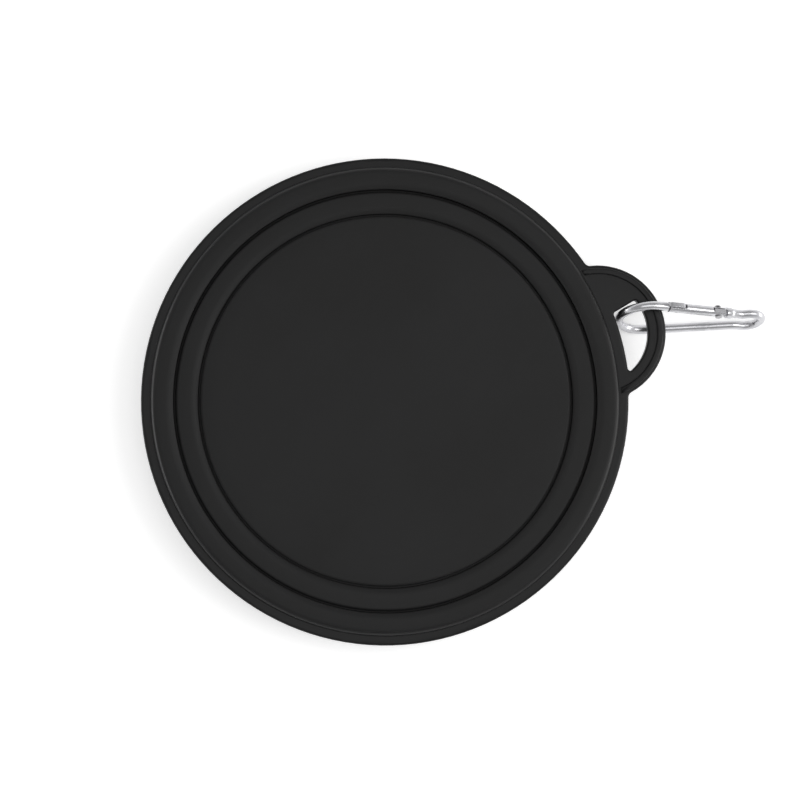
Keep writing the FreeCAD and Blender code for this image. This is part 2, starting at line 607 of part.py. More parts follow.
def make_carabiner_frame():
    """The bent rod with a hooked tang at its nose and a drilled tang at its root."""
    body = new_body("carabiner_frame")
    path = rod_path(body)
    section = circle(new_sketch(body, "rod_section", "YZ_Plane"), "dims.wire_radius")
    doc.recompute()
    rod = body.newObject("PartDesign::AdditivePipe", "rod")
    rod.Profile = section
    rod.Spine = (path, [f"Edge{i + 1}" for i in range(len(path.Shape.Edges))])
    path.Visibility = section.Visibility = False
    doc.recompute()
    turned(body, "root_section", [
        (ROOT_X, "0"),
        (ROOT_X, "dims.root_radius"),
        (ROOT_X + " + dims.root_length", "dims.root_radius"),
        (ROOT_X + " + dims.root_length + dims.root_taper", "dims.wire_radius"),
        (ROOT_X + " + dims.root_length + dims.root_taper", "0"),
    ], "XY_Plane", "H_Axis")
    pad(body, polygon(new_sketch(body, "hook_outline", "XY_Plane"), [
        ("-dims.wire_radius / 2", "-dims.hook_depth"),
        ("dims.hook_length", "-dims.hook_depth"),
        ("dims.hook_length", "dims.hook_height"),
        ("dims.gate_gap", "dims.hook_height"),
        ("-dims.wire_radius / 2", "dims.wire_radius / 2"),
    ]), "dims.tang_thickness", both_ways=True)

    def hook_corner(edge):
        middle = edge.CenterOfMass
        upright = isinstance(edge.Curve, Part.Line) and edge.Length > 0.9 * dim("tang_thickness")
        far = abs(middle.x - dim("hook_length")) < 1e-3
        top = abs(middle.y - dim("hook_height")) < 1e-3
        return upright and (far or top) and abs(middle.z) < 1e-3

    round_edges(body, "hook_corners", "dims.hook_round", hook_corner)
    half_notch = "(dims.pin_radius + dims.notch_play)"
    cut(body, polygon(new_sketch(body, "notch_outline", "XY_Plane"), [
        ("dims.notch_length - " + half_notch, "-dims.hook_depth - 1"),
        ("dims.notch_length + " + half_notch, "-dims.hook_depth - 1"),
        ("dims.notch_length + " + half_notch, "-dims.pin_drop + " + half_notch),
        ("dims.notch_length - " + half_notch, "-dims.pin_drop + " + half_notch),
    ]), "2 * dims.tang_thickness", both_ways=True)
    pad(body, polygon(new_sketch(body, "tang_outline", "XY_Plane"), [
        (TANG_X, "-dims.tang_half"),
        (ROOT_X + " + dims.root_length / 2", "-dims.tang_half"),
        (ROOT_X + " + dims.root_length / 2", "dims.tang_half"),
        (TANG_X, "dims.tang_half"),
    ]), "dims.tang_thickness", both_ways=True)
    cut(body, circle(new_sketch(body, "tang_hole", "XY_Plane"),
                     "dims.rivet_radius + dims.press_play", RIVET_X),
        "2 * dims.tang_thickness", both_ways=True)
    return body


def make_gate():
    """The round gate: slotted for the nose hook, bored for its spring, forked at the rivet."""
    body = new_body("carabiner_gate")
    gate_end = "(dims.rivet_reach + dims.fork_reach)"
    turned(body, "gate_section", [
        ("dims.gate_gap", "0"),
        ("dims.gate_gap", "dims.gate_radius"),
        (gate_end, "dims.gate_radius"),
        (gate_end, "0"),
    ], "XY_Plane", "H_Axis")
    # flats on both sides of the fork, where the rivet heads bear
    for name, side in (("near_flat", 1), ("far_flat", -1)):
        outside = f"{side} * (dims.gate_radius + 1)"
        face = f"{side} * dims.fork_flat"
        start = "dims.rivet_reach - dims.fork_slot"
        cut(body, polygon(new_sketch(body, name, "XZ_Plane"), [
            (start, outside), (start, face),
            (gate_end + " + 1", face), (gate_end + " + 1", outside),
        ]), ACROSS_GATE, both_ways=True)
    slot_width = "(dims.tang_thickness / 2 + dims.tang_clearance)"
    latch_end = "dims.hook_length + dims.latch_room"
    cut(body, polygon(new_sketch(body, "latch_slot_outline", "XZ_Plane"), [
        ("dims.gate_gap - 1", "-" + slot_width), (latch_end, "-" + slot_width),
        (latch_end, slot_width), ("dims.gate_gap - 1", slot_width),
    ]), ACROSS_GATE, both_ways=True)
    cut(body, polygon(new_sketch(body, "fork_slot_outline", "XZ_Plane"), [
        ("dims.rivet_reach - dims.fork_slot", "-" + slot_width),
        (gate_end + " + 1", "-" + slot_width),
        (gate_end + " + 1", slot_width),
        ("dims.rivet_reach - dims.fork_slot", slot_width),
    ]), ACROSS_GATE, both_ways=True)

    turned(body, "spring_bore", [
        ("dims.bore_floor", "0"), ("dims.bore_floor", "dims.bore_radius"),
        ("dims.rivet_reach", "dims.bore_radius"), ("dims.rivet_reach", "0"),
    ], "XY_Plane", "H_Axis", groove=True)
    cut(body, circle(new_sketch(body, "rivet_holes", "XY_Plane"),
                     "dims.rivet_radius + dims.rivet_play", RIVET_X),
        ACROSS_GATE, both_ways=True)
    cut(body, circle(new_sketch(body, "pin_holes", "XY_Plane"),
                     "dims.pin_radius + dims.press_play", "dims.notch_length", "-dims.pin_drop"),
        ACROSS_GATE, both_ways=True)
    cut(body, fork_end(new_sketch(body, "fork_end", "XY_Plane")), ACROSS_GATE,
        both_ways=True)
    return body


def fork_end(sketch):
    """What lies past the rivet and outside a round about it, to clear the rod's shoulder."""
    reach, rivet = dim("fork_reach"), Vector(dim("rivet_reach"), 0, 0)
    corner = math.radians(dim("fork_angle"))
    top = rivet + Vector(reach * math.cos(corner), reach * math.sin(corner), 0)
    low = Vector(top.x, -top.y, 0)
    far_top, far_low = Vector(rivet.x + 2 * reach, top.y, 0), Vector(rivet.x + 2 * reach, low.y, 0)
    curve = arc(sketch, rivet, reach, low, top)
    upper = sketch.addGeometry(Part.LineSegment(top, far_top), False)
    side = sketch.addGeometry(Part.LineSegment(far_top, far_low), False)
    lower = sketch.addGeometry(Part.LineSegment(far_low, low), False)
    for one, one_end, other, other_end in (
        (curve, 2, upper, 1), (upper, 2, side, 1), (side, 2, lower, 1), (lower, 2, curve, 1),
    ):
        sketch.addConstraint(Sketcher.Constraint("Coincident", one, one_end, other, other_end))
    sketch.addConstraint(Sketcher.Constraint("PointOnObject", curve, 3, -1))
    bind(sketch, "DistanceX", RIVET_X, -1, 1, curve, 3)
    bind(sketch, "Radius", "dims.fork_reach", curve)
    bind(sketch, "DistanceY", "dims.fork_reach * sin(dims.fork_angle * 1 deg)", -1, 1, curve, 2)
    bind(sketch, "DistanceY", "-dims.fork_reach * sin(dims.fork_angle * 1 deg)", -1, 1, curve, 1)
    return sketch


def make_gate_rivet():
    """Shank and two heads, on the fork's flats."""
    body = new_body("gate_rivet")
    seat = "(dims.fork_flat + dims.rivet_play)"
    top = seat + " + dims.rivet_head_height"
    turned(body, "rivet_section", [
        ("0", "-(" + top + ")"),
        ("dims.rivet_head_radius", "-(" + top + ")"),
        ("dims.rivet_head_radius", "-" + seat),
        ("dims.rivet_radius", "-" + seat),
        ("dims.rivet_radius", seat),
        ("dims.rivet_head_radius", seat),
        ("dims.rivet_head_radius", top),
        ("0", top),
    ])
    return body


def make_latch_pin():
    """The cross pin in the gate that the nose hook holds."""
    body = new_body("latch_pin")
    sketch = new_sketch(body, "pin_outline", "XY_Plane")
    circle(sketch, "dims.pin_radius", "dims.notch_length", "-dims.pin_drop")
    pad(body, sketch, "2 * (dims.gate_radius - dims.pin_recess)", both_ways=True)
    return body


def make_plunger():
    """Slides in the bore: the spring pushes its head against the flat end of the tang."""
    body = new_body("spring_plunger")
    head = TANG_X + " - dims.plunger_gap - dims.plunger_length"
    turned(body, "plunger_section", [
        (head + " - dims.plunger_stem_length", "0"),
        (head + " - dims.plunger_stem_length", "dims.plunger_stem"),
        (head, "dims.plunger_stem"),
        (head, "dims.plunger_radius"),
        (TANG_X + " - dims.plunger_gap", "dims.plunger_radius"),
        (TANG_X + " - dims.plunger_gap", "0"),
    ], "XY_Plane", "H_Axis")
    return body


def biarc(start, start_way, end, end_way):
    """Two arcs that leave start along start_way and reach end along end_way."""
    across = end - start
    turn = 2 * (1 - start_way.dot(end_way))
    slope = across.dot(start_way + end_way)
    leg = (-slope + math.sqrt(slope ** 2 + turn * across.dot(across))) / turn
    corner_in = start + start_way * leg
    corner_out = end - end_way * leg
    middle = (corner_in + corner_out) * 0.5
    arcs = []
    for first, corner, last in ((start, corner_in, middle), (middle, corner_out, end)):
        weight = (last - first).Length / (2 * leg)
        crown = (first + corner * (2 * weight) + last) * (1 / (2 * (1 + weight)))
        arcs.append(Part.Arc(first, crown, last).toShape())
    return arcs


def make_gate_spring():
    """A coil between the bore's floor and the plunger's head, one unbroken wire."""
    radius, wire = dim("spring_radius"), dim("spring_wire")
    low = dim("bore_floor") + dim("plunger_gap") + wire
    high = size(TANG_X) - 2 * dim("plunger_gap") - dim("plunger_length") - wire
    steps = int(round(4 * dim("spring_turns")))
    pitch = (high - low) / steps * 4

    def place(step):
        angle = step * math.pi / 2
        point = Vector(low + pitch * step / 4, radius * math.cos(angle), radius * math.sin(angle))
        way = Vector(pitch / (2 * math.pi), -radius * math.sin(angle), radius * math.cos(angle))
        return point, way.normalize()

    edges = []
    for step in range(steps):
        edges += biarc(*place(step), *place(step + 1))
    path = Part.Wire(edges)
    point, way = place(0)
    ring = Part.Wire([Part.Circle(point, way, wire).toShape()])
    solid = path.makePipeShell([ring], True, False)
    print(f"gate_spring: least gap between turns {pitch - 2 * wire:.2f} mm")
    feature = doc.addObject("Part::Feature", "gate_spring")
    feature.Label = "gate_spring"
    feature.Shape = solid
    return feature


def carabiner_placement():
    """Lies in the slot: wide end and narrow end on the table, nose over the tab's edge."""
    tilt = math.radians(dim("carabiner_tilt"))
    azimuth = math.radians(dim("carabiner_azimuth"))
    at = rod_corners()
    # the pitch that brings the lowest points of both round ends down to the table
    gap = at["eye"] - at["bend_centre"]
    gap_angle = math.atan2(gap.y, gap.x)
    pitch = -gap_angle - math.asin((dim("bend_radius") - dim("eye_radius")) / gap.Length)
    along = Vector(math.cos(azimuth), math.sin(azimuth), 0)
    side = Vector(-math.sin(azimuth), math.cos(azimuth), 0)
    rise = side * math.sin(tilt) + Vector(0, 0, math.cos(tilt))
    x_axis = along * math.cos(pitch) + rise * math.sin(pitch)
    y_axis = rise * math.cos(pitch) - along * math.sin(pitch)
    z_axis = x_axis.cross(y_axis)
    turn = Rotation(x_axis, y_axis, z_axis, "XYZ")
    reach = size(SLOT_INNER) + dim("wire_radius") + dim("bend_radius")
    bearing = math.radians(dim("hook_azimuth"))
    height = dim("wire_radius") + dim("bend_radius") * math.cos(tilt)
    hook = Vector(reach * math.cos(bearing), reach * math.sin(bearing), height)
    return Placement(hook - turn.multVec(at["bend_centre"]), turn)


# ---------------------------------------------------------------- the whole part


def make_all():
    parts = [
        make_rim_frame(),
        make_upper_wall(),
        make_web("upper_fold_web", MOUTH_LIP,
                 MOUTH_INSIDE + " - dims.web_shoulder", CREST_SIDE, CREST_BOTTOM),
        make_lower_wall(),
        make_web("lower_fold_web", CREST_LIP,
                 CREST_INSIDE + " - dims.web_shoulder", BASE_SIDE, LIP_BOTTOM),
        make_base_disc(),
    ]
    carabiner = [
        make_carabiner_frame(), make_gate(), make_latch_pin(), make_plunger(), make_gate_spring(),
    ]
    lying = carabiner_placement()
    for piece in carabiner:
        piece.Placement = lying
    rivet = make_gate_rivet()
    rivet.Placement = lying * Placement(Vector(size(RIVET_X), 0, 0), Rotation())
    doc.recompute()
    return parts + carabiner + [rivet]


def export(parts):
    for thing in doc.Objects:
        if "Invalid" in thing.State or "Error" in thing.State:
            raise RuntimeError(f"{thing.Name} failed: {thing.State}")
    for part in parts:
        if part.Shape.isNull() or not part.Shape.isValid():
            raise RuntimeError(f"{part.Label} has no valid shape")
    os.makedirs("parts", exist_ok=True)
    for part in parts:
        part.Shape.exportStep(f"parts/{part.Label}.step")
        print(f"{part.Label}: {len(part.Shape.Solids)} solid, {part.Shape.Volume:.1f} mm3")


export(make_all())
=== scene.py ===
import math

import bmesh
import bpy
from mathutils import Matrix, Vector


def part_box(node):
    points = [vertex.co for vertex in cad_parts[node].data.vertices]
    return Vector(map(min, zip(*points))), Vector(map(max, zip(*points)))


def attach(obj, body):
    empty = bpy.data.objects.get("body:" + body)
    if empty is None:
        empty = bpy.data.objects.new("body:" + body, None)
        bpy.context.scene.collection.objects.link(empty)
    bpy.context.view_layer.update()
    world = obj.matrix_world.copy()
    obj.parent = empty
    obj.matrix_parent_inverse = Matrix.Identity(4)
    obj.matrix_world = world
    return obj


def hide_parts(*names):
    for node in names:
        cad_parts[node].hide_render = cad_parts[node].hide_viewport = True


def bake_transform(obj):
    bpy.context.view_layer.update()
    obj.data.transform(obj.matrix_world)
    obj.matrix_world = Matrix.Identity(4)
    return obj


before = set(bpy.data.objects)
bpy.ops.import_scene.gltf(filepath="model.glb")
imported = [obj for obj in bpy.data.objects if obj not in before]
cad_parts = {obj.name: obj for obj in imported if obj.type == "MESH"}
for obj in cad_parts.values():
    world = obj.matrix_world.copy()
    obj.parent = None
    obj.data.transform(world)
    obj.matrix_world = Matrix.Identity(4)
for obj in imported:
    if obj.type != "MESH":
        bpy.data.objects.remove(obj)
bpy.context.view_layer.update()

# %% [markdown]
# # A folding silicone bowl
#
# The bowl is one soft moulding that folds flat like a set of nested rings. A hard plastic ring
# with a tab is clipped under its rim, and a small carabiner hangs in the slot of the tab.
# Everything is in metres, in the CAD model's frame: the bowl's axis is Z, the table is z = 0
# and the tab points along +X.

MM = 0.001

# %% [markdown]
# ## The camera
#
# The photograph looks almost straight down. The tab points to the right and a little up, so
# the camera is turned about the bowl's axis rather than the bowl. A long lens keeps the rings
# round. The camera leans a few degrees, because the near side of the rim shows a little more
# than the far side. It could be aimed by a Track To constraint, but a matrix made from three
# directions also fixes which way is up in the picture.

# %% Camera
TAB_TURN = math.radians(17.8)
LEAN = math.radians(4.0)
LEAN_FROM = Vector((-0.64, -0.77))
VIEW_WIDTH = 212.7 * MM
LENS_MM = 100.0
SENSOR_MM = 36.0
CLIP_START = 0.01
AIM_RIGHT = 3.7 * MM
AIM_UP = 0.1 * MM


def linked(name, data):
    """A new object that shows this data in the scene."""
    made = bpy.data.objects.new(name, data)
    bpy.context.scene.collection.objects.link(made)
    return made


view_right = Vector((math.cos(TAB_TURN), -math.sin(TAB_TURN), 0.0))
view_up = Vector((math.sin(TAB_TURN), math.cos(TAB_TURN), 0.0))
rim_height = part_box("rim_frame")[1].z
aim = view_right * AIM_RIGHT + view_up * AIM_UP + Vector((0.0, 0.0, rim_height))
sideways = view_right * LEAN_FROM.x + view_up * LEAN_FROM.y
back = sideways * math.sin(LEAN) + Vector((0.0, 0.0, math.cos(LEAN)))
distance = VIEW_WIDTH * LENS_MM / SENSOR_MM

lens = bpy.data.cameras.new("photo_camera")
lens.lens = LENS_MM
lens.sensor_width = SENSOR_MM
lens.clip_start = CLIP_START
camera = linked("photo_camera", lens)
right = view_up.cross(back).normalized()
up = back.cross(right)
turn = Matrix((right, up, back.normalized())).transposed()
camera.matrix_world = Matrix.Translation(aim + back.normalized() * distance) @ turn.to_4x4()
bpy.context.scene.camera = camera
print("camera distance in mm:", round(distance / MM))

# %% [markdown]
# ## Writing shaders as sums
#
# Materials need arithmetic: a lint mask times a strength, one minus a mask. Math nodes do this,
# but a page of them is hard to read. The small class below wraps a node's output so that
# ordinary operators add the Math nodes.

# %% A node's output as a number
class Wired:
    """An output of a node that can be added, subtracted and multiplied."""

    def __init__(self, graph, socket):
        self.graph = graph
        self.socket = socket

    def __add__(self, other):
        return self.graph.maths("ADD", self, other)

    __radd__ = __add__

    def __sub__(self, other):
        return self.graph.maths("SUBTRACT", self, other)

    def __rsub__(self, other):
        return self.graph.maths("SUBTRACT", other, self)

    def __mul__(self, other):
        return self.graph.maths("MULTIPLY", self, other)

    __rmul__ = __mul__


# %% [markdown]
# The second class holds a material. One method adds any node, given its type, its settings and
# its inputs. The others are the few patterns that this object needs, in terms of that one:
# noise, specks, a soft threshold, a blend of two colours and a bump.

# %% A material's nodes
MIX_SHARE, MIX_FIRST_COLOUR, MIX_SECOND_COLOUR, MIX_RESULT = 0, 6, 7, 2


class Graph:
    """A material's node tree, with one method that adds any node."""

    def __init__(self, name):
        self.material = bpy.data.materials.new(name)
        self.material.use_nodes = True
        self.tree = self.material.node_tree
        self.shader = self.tree.nodes["Principled BSDF"]
        self.place = self.node("ShaderNodeTexCoord", out="Object")

    def node(self, kind, settings=None, inputs=None, out=0):
        made = self.tree.nodes.new(kind)
        for name, value in (settings or {}).items():
            setattr(made, name, value)
        self.feed(made, inputs or {})
        return Wired(self, made.outputs[out])

    def feed(self, made, inputs):
        for name, value in inputs.items():
            if isinstance(value, Wired):
                self.tree.links.new(value.socket, made.inputs[name])
            else:
                made.inputs[name].default_value = value

    def maths(self, operation, first, second):
        return self.node("ShaderNodeMath", {"operation": operation}, {0: first, 1: second})

    def vector(self, operation, inputs, out):
        return self.node("ShaderNodeVectorMath", {"operation": operation}, inputs, out)

    def stretched(self, scale, turned=(0.0, 0.0, 0.0)):
        """Object coordinates, turned and then scaled differently along each axis."""
        inverse = tuple(1.0 / factor for factor in scale)
        inputs = {"Vector": self.place, "Rotation": turned, "Scale": inverse}
        return self.node("ShaderNodeMapping", {"vector_type": "TEXTURE"}, inputs)

    def noise(self, scale, detail=3.0, roughness=0.5, at=None):
        inputs = {"Vector": at or self.place, "Scale": scale, "Detail": detail,
                  "Roughness": roughness}
        return self.node("ShaderNodeTexNoise", None, inputs, out="Fac")

    def specks(self, scale):
        """Distance to the nearest of many scattered points."""
        inputs = {"Vector": self.place, "Scale": scale}
        return self.node("ShaderNodeTexVoronoi", None, inputs, out="Distance")

    def between(self, value, low, high):
        """0 below low, 1 above high, smooth between. High may be the smaller one."""
        rising = low < high
        inputs = {"Value": value, "From Min": min(low, high), "From Max": max(low, high),
                  "To Min": 0.0 if rising else 1.0, "To Max": 1.0 if rising else 0.0}
        settings = {"interpolation_type": "SMOOTHSTEP"}
        return self.node("ShaderNodeMapRange", settings, inputs, out="Result")

    def blend(self, share, first, second):
        """A colour between two, each of them written out or wired."""
        first, second = (colour if isinstance(colour, Wired) else (*colour, 1.0)
                         for colour in (first, second))
        inputs = {MIX_SHARE: share, MIX_FIRST_COLOUR: first, MIX_SECOND_COLOUR: second}
        return self.node("ShaderNodeMix", {"data_type": "RGBA"}, inputs, out=MIX_RESULT)

    def bump(self, height, strength, depth, under=None):
        inputs = {"Height": height, "Strength": strength, "Distance": depth}
        if under:
            inputs["Normal"] = under
        return self.node("ShaderNodeBump", None, inputs, out="Normal")

    def finish(self, **sockets):
        """Sets the shader's sockets by name, with spaces written as underscores."""
        self.feed(self.shader, {name.replace("_", " "): value for name, value in sockets.items()})
        print(self.material.name, "nodes:", len(self.tree.nodes))
        return self.material


# %% [markdown]
# ## Silicone
#
# Silicone for kitchenware is dark grey all the way through, with a soft sheen from the
# sand-blasted mould. Three things make it look like silicone: a very fine grain, hand marks
# that change the sheen over a few centimetres, and the lint that it always picks up. The outer
# edge of the rim is smoother than the rest, and the thin light line along it shows that. The
# distance from the bowl's axis tells the shader where that edge starts. All this could be
# painted on an image, but noise on the object's own coordinates has no seam and stays sharp
# when the camera comes near. Texture scales count features per metre, and each pair called an
# edge says where a mask begins and ends.

# %% Silicone material
SILICONE_DARK = (0.0088, 0.0088, 0.0090)
SILICONE_WORN = (0.0118, 0.0116, 0.0113)
LINT = (0.060, 0.058, 0.055)
WORN_SHARE = 0.55
LINT_SHARE = 0.6
SILICONE_GLOSS = 0.25
SILICONE_ROUGHNESS = 0.52
HAND_MARKS = 26.0
MARKS_EDGE = (0.42, 0.70)
MARKS_DULL = 0.08
STREAKS = (30.0, 110.0, 60.0)
STREAKS_TURNED = (0.0, 0.0, 0.5)
STREAKS_DULL = 0.05
POLISH_EDGE = (61.1 * MM, 61.5 * MM)
POLISH_SMOOTHS = 0.22
LINT_SPECKS = 520.0
SPECKS_EDGE = (0.030, 0.012)
LINT_PATCHES = 70.0
PATCHES_EDGE = (0.52, 0.62)
SILICONE_RIPPLE = 240.0
RIPPLE_BUMP = 0.10
SILICONE_GRAIN = 5200.0
GRAIN_BUMP = 0.22
TEXTURE_DEPTH = 0.02 * MM


def silicone_material():
    graph = Graph("silicone")
    marks = graph.noise(HAND_MARKS, detail=4.0, roughness=0.55)
    handled = graph.between(marks, *MARKS_EDGE)
    body = graph.blend(handled * WORN_SHARE, SILICONE_DARK, SILICONE_WORN)
    specks = graph.between(graph.specks(LINT_SPECKS), *SPECKS_EDGE)
    linted = specks * graph.between(graph.noise(LINT_PATCHES), *PATCHES_EDGE)
    streaks = graph.noise(1.0, at=graph.stretched(STREAKS, STREAKS_TURNED))
    flattened = graph.vector("MULTIPLY", {0: graph.place, 1: (1.0, 1.0, 0.0)}, "Vector")
    radius = graph.vector("LENGTH", {0: flattened}, "Value")
    polished = graph.between(radius, *POLISH_EDGE)
    worn = SILICONE_ROUGHNESS + handled * MARKS_DULL + streaks * STREAKS_DULL
    ripple = graph.bump(graph.noise(SILICONE_RIPPLE, detail=2.0), RIPPLE_BUMP, TEXTURE_DEPTH)
    grain = graph.noise(SILICONE_GRAIN, detail=2.0)
    return graph.finish(
        Base_Color=graph.blend(linted * LINT_SHARE, body, LINT),
        Roughness=worn - polished * POLISH_SMOOTHS,
        Specular_IOR_Level=SILICONE_GLOSS,
        Normal=graph.bump(grain, GRAIN_BUMP, TEXTURE_DEPTH, under=ripple),
    )


silicone = silicone_material()

# %% [markdown]
# ## Hard plastic
#
# The clip ring is satin polypropylene: the same grey, harder and a little glossier, with fine
# scuffs that run the same way as the tab. Real scratches could be cut into the mesh, but they
# are thinner than a pixel, so a mask for the colour and the roughness is enough. Its noise is
# squeezed across that direction, which leaves each scuff long and thin.

# %% Plastic material
PLASTIC_DARK = (0.0085, 0.0085, 0.0087)
PLASTIC_SCUFFED = (0.0260, 0.0258, 0.0255)
PLASTIC_GLOSS = 0.19
PLASTIC_ROUGHNESS = 0.30
SCUFFS = (160.0, 900.0, 160.0)
SCUFFS_EDGE = (0.60, 0.80)
SCUFFS_SHARE = 0.5
SCUFFS_DULL = 0.14
CLOUDS = 40.0
CLOUDS_DULL = 0.06
PLASTIC_GRAIN = 3000.0
PLASTIC_BUMP = 0.16


def plastic_material():
    graph = Graph("ring_plastic")
    scuffs = graph.noise(1.0, detail=5.0, roughness=0.7, at=graph.stretched(SCUFFS))
    worn = graph.between(scuffs, *SCUFFS_EDGE)
    clouds = graph.noise(CLOUDS)
    grain = graph.noise(PLASTIC_GRAIN, detail=2.0)
    return graph.finish(
        Base_Color=graph.blend(worn * SCUFFS_SHARE, PLASTIC_DARK, PLASTIC_SCUFFED),
        Roughness=PLASTIC_ROUGHNESS + worn * SCUFFS_DULL + clouds * CLOUDS_DULL,
        Specular_IOR_Level=PLASTIC_GLOSS,
        Normal=graph.bump(grain, PLASTIC_BUMP, TEXTURE_DEPTH),
    )


plastic = plastic_material()

# %% [markdown]
# ## Alloy and steel
#
# The carabiner is bent from bright aluminium rod and tumbled, so it has a silver gloss broken
# by tiny dents and by faint lines along the rod. The rivet and pins are plain steel. A metal
# mostly shows what is round it, so the roughness and two layers of bump matter more here than
# the colour. Both metals are the same graph with other colours. The lines are turned to follow
# the gate's direction.

# %% Metal materials
ALLOY_BRIGHT = (0.60, 0.60, 0.62)
ALLOY_DULL = (0.42, 0.42, 0.44)
ALLOY_ROUGHNESS = 0.20
STEEL_BRIGHT = (0.40, 0.40, 0.41)
STEEL_DULL = (0.24, 0.23, 0.23)
STEEL_ROUGHNESS = 0.28
TARNISH = 190.0
TARNISH_EDGE = (0.45, 0.75)
TARNISH_SHARE = 0.5
TARNISH_DULLS = 0.12
ROD_LINES = (120.0, 2600.0, 2600.0)
ROD_TILT = (0.0, 0.30, -0.41)
LINES_SHARE = 0.2
LINES_DULL = 0.05
LINES_BUMP = 0.10
LINES_DEPTH = 0.01 * MM
DENTS = 900.0
DENTS_BUMP = 0.20
DENTS_DEPTH = 0.03 * MM


def metal_material(name, bright, dull, roughness):
    graph = Graph(name)
    lines = graph.noise(1.0, at=graph.stretched(ROD_LINES, ROD_TILT))
    dents = graph.noise(DENTS, detail=2.0)
    tarnish = graph.between(graph.noise(TARNISH, detail=4.0), *TARNISH_EDGE)
    dulled = tarnish * TARNISH_SHARE + lines * LINES_SHARE
    scratched = graph.bump(lines, LINES_BUMP, LINES_DEPTH)
    return graph.finish(
        Base_Color=graph.blend(dulled, bright, dull),
        Metallic=1.0,
        Roughness=roughness + tarnish * TARNISH_DULLS + lines * LINES_DULL,
        Normal=graph.bump(dents, DENTS_BUMP, DENTS_DEPTH, under=scratched),
    )


alloy = metal_material("bright_alloy", ALLOY_BRIGHT, ALLOY_DULL, ALLOY_ROUGHNESS)
steel = metal_material("steel", STEEL_BRIGHT, STEEL_DULL, STEEL_ROUGHNESS)

# %% [markdown]
# ## From a bmesh to a piece
#
# Every piece ends the same way: its faces are turned outwards and shaded smooth up to the real
# edges, it rides on its body, and it stands for one CAD node. One helper does this for all of
# them, so that no step is forgotten. A piece that bends between two bodies gets no body here.

# %% Helper: a finished piece
SHARP_FROM = math.radians(38)


def smooth_object(name, bm, material):
    """An object with the bmesh as its mesh, shaded smooth."""
    for face in bm.faces:
        face.smooth = True
    mesh = bpy.data.meshes.new(name)
    bm.to_mesh(mesh)
    bm.free()
    mesh.materials.append(material)
    print(name, "faces:", len(mesh.polygons))
    return linked(name, mesh)


def finished_piece(name, bm, material, body, node):
    """Makes the piece that stands for the node, puts it on its body and hides the node."""
    bmesh.ops.recalc_face_normals(bm, faces=bm.faces)
    piece = smooth_object(name, bm, material)
    piece.data.set_sharp_from_angle(angle=SHARP_FROM)
    if body:
        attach(piece, body)
    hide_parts(node)
    return piece


# %% [markdown]
# ## Turning the silicone rings
#
# Every ring of the bowl is a section turned about Z. The section starts as a flat face whose
# corners carry the radius of the moulded edge. A vertex bevel rounds them, and a full spin
# makes the ring. A subdivided tube could look alike, but its roundings would have no set radius.
# This is how a potter's template works, and it keeps the roundings even.

# %% Helper: a ring from a section
TURN_STEPS = 240
ROUND_SEGMENTS = 6
MERGE_DISTANCE = 0.002 * MM


def spin_round(bm, steps):
    """Spins the outline in the XZ plane once round the bowl's axis."""
    bmesh.ops.spin(bm, geom=bm.verts[:] + bm.edges[:], cent=(0, 0, 0), axis=(0, 0, 1),
                   dvec=(0, 0, 0), angle=2 * math.pi, steps=steps, use_merge=True,
                   use_duplicate=False)


def turned_ring(corners):
    """A ring with this section. Each corner is (radius, height, rounding) in mm."""
    bm = bmesh.new()
    verts = [bm.verts.new((radius * MM, 0.0, height * MM)) for radius, height, _ in corners]
    bm.faces.new(verts)
    for vert, (_, _, rounding) in zip(verts, corners):
        if rounding:
            bmesh.ops.bevel(bm, geom=[vert], offset=rounding * MM, offset_type="OFFSET",
                            segments=ROUND_SEGMENTS, profile=0.5, affect="VERTICES",
                            material=-1)
    bmesh.ops.delete(bm, geom=bm.faces[:], context="FACES_ONLY")
    spin_round(bm, TURN_STEPS)
    bmesh.ops.remove_doubles(bm, verts=bm.verts, dist=MERGE_DISTANCE)
    return bm


# %% [markdown]
# ## The shoulder that both walls share
#
# The rim and the crest of the lower wall have the same inner side. The top face slants down in
# one large round to a lip that nearly meets the next ring, and the wall is set back under the
# lip. That slant is the soft shade outside each groove in the photograph, and it drops half a
# millimetre less than in the CAD model, because the shade is that soft. Lengths are in mm.

# %% Helper: the inner shoulder
LIP_REACH = 0.5
LIP_TOP_ROUND = 0.15
LIP_UNDER_ROUND = 0.1
SHOULDER_RUN = 1.4
SHOULDER_DROP = 0.6
BEAD_ROUND = 3.2
BEAD_HEIGHT = 4.0
BEAD_INNER_ROUND = 0.5
BEAD_UNDERSIDE = 1.5
BEAD_UNDER_ROUND = 0.8
WALL_INSET = 2.0
SHOULDER_SETBACK = BEAD_ROUND * math.tan(math.atan2(SHOULDER_DROP, SHOULDER_RUN) / 2)


def inner_shoulder(lip_radius, top, lip_edge):
    """From the top face down the slant to the lip, and under it to the wall's inner side."""
    lip_top = top - SHOULDER_DROP
    bead_bottom = top - BEAD_HEIGHT
    return [
        (lip_radius + SHOULDER_RUN, top, SHOULDER_SETBACK),
        (lip_radius, lip_top, LIP_TOP_ROUND),
        (lip_radius, lip_top - lip_edge, LIP_UNDER_ROUND),
        (lip_radius + LIP_REACH, lip_top - lip_edge, 0.0),
        (lip_radius + LIP_REACH, bead_bottom, BEAD_INNER_ROUND),
        (lip_radius + WALL_INSET, bead_bottom - BEAD_UNDERSIDE, BEAD_UNDER_ROUND),
    ]


print("the shoulder's round starts", round(SHOULDER_SETBACK, 2), "mm from its corner")

# %% [markdown]
# Both walls also end in the same foot: a thin ring to stand on, with a toe on its inner side
# that carries the next fold web. Its corners come in two parts, because a section runs round
# from the foot's underside, up the outer side and back down the inner side to the toe.

